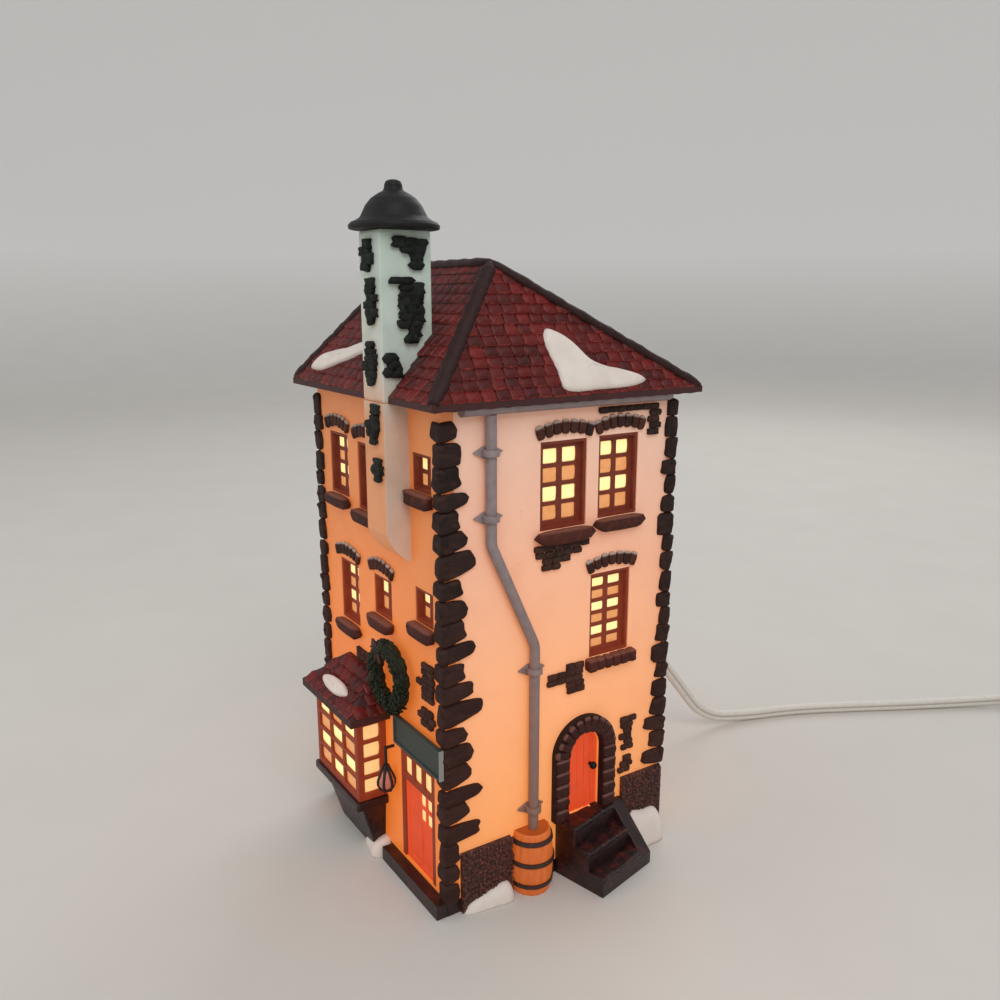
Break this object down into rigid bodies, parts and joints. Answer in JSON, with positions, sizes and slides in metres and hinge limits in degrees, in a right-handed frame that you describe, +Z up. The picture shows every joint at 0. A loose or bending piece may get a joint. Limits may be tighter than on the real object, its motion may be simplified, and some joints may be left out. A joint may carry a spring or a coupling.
{
  "type": "ceramic christmas village house",
  "caption": "Lit ceramic village house with a hipped tile roof, chimney, bay window, side door and steps, and a clip-in lamp on a lead with switch and plug.",
  "frame": {"origin": "middle of the base plate's underside", "axes": "+Z up; the shop front faces -Y, the side door wall faces +X, and the lamp pulls out along +Y"},
  "size_m": [0.2174, 0.3683, 0.2262],
  "materials": {
    "plaster": "satin glaze",
    "base": "matt",
    "roof_tile": "satin glaze",
    "roof_cap": "satin glaze",
    "chimney_plaster": "satin glaze",
    "black_glaze": "satin glaze",
    "dark_stone": "matt",
    "door_stone": "matt",
    "maroon_step": "matt",
    "brown_frame": "matt",
    "lit_pane": "gloss",
    "red_door": "satin",
    "grey_pipe": "satin",
    "barrel_brown": "matt",
    "iron": "matt",
    "sign_green": "matt",
    "wreath_green": "matt",
    "snow": "matt",
    "white_plastic": "gloss",
    "white_lead": "satin",
    "tie": "matt",
    "spring_steel": "brushed",
    "brass": "bright",
    "bulb_glass": "clear"
  },
  "bodies": {
    "house": {"shop_front_wall": "plaster", "side_door_wall": "plaster", "back_wall": "plaster", "far_side_wall": "plaster", "base_plate": "base", "shop_step": "base", "roof_shell": "roof_tile", "bay_roof": "roof_tile", "hip_and_ridge_caps": "roof_cap", "chimney_breast": "chimney_plaster", "chimney_stack": "chimney_plaster", "chimney_cap": "black_glaze", "chimney_stone_patches": "black_glaze", "side_door_knob": "black_glaze", "quoins_near_corner": "dark_stone", "quoins_right_back": "dark_stone", "quoins_far_side": "dark_stone", "window_lintels": "dark_stone", "window_sills": "dark_stone", "wall_stone_patches": "dark_stone", "rubble_plinth": "dark_stone", "bay_base": "dark_stone", "side_door_surround": "door_stone", "side_steps": "maroon_step", "side_window_frames": "brown_frame", "shop_window_frames": "brown_frame", "rear_window_frames": "brown_frame", "bay_frame": "brown_frame", "shop_door_frame": "brown_frame", "side_window_panes": "lit_pane", "shop_window_panes": "lit_pane", "rear_window_panes": "lit_pane", "bay_panes": "lit_pane", "shop_door_panes": "lit_pane", "side_door": "red_door", "shop_door": "red_door", "gutter": "grey_pipe", "downspout": "grey_pipe", "pipe_brackets": "grey_pipe", "rain_barrel": "barrel_brown", "barrel_hoops": "iron", "lantern": "iron", "sign_board": "sign_green", "wreath": "wreath_green", "snow_patches": "snow"},
    "lamp": {"lamp_socket": "white_plastic", "lamp_clip": "spring_steel", "cord": "white_lead", "cord_coil": "white_lead", "coil_tie": "tie", "switch_body": "white_plastic", "plug_body": "white_plastic", "plug_blades": "brass"},
    "bulb": {"bulb_base": "brass", "bulb_glass": "bulb_glass"},
    "wheel": {"switch_wheel": "white_plastic"}
  },
  "joints": [
    {"name": "lamp_pull", "type": "slide", "parent": "house", "child": "lamp", "axis": [0, 1, 0], "range_m": [0, 0.07]},
    {"name": "bulb_turn", "type": "hinge", "parent": "lamp", "child": "bulb", "pos_m": [-0.004, 0.0245, 0.046], "axis": [0, -1, 0], "range_deg": [0, 1080]},
    {"name": "switch_turn", "type": "hinge", "parent": "lamp", "child": "wheel", "pos_m": [0.1565, 0.21211, 0.0096], "axis": [0, 0, 1], "continuous": true}
  ]
}
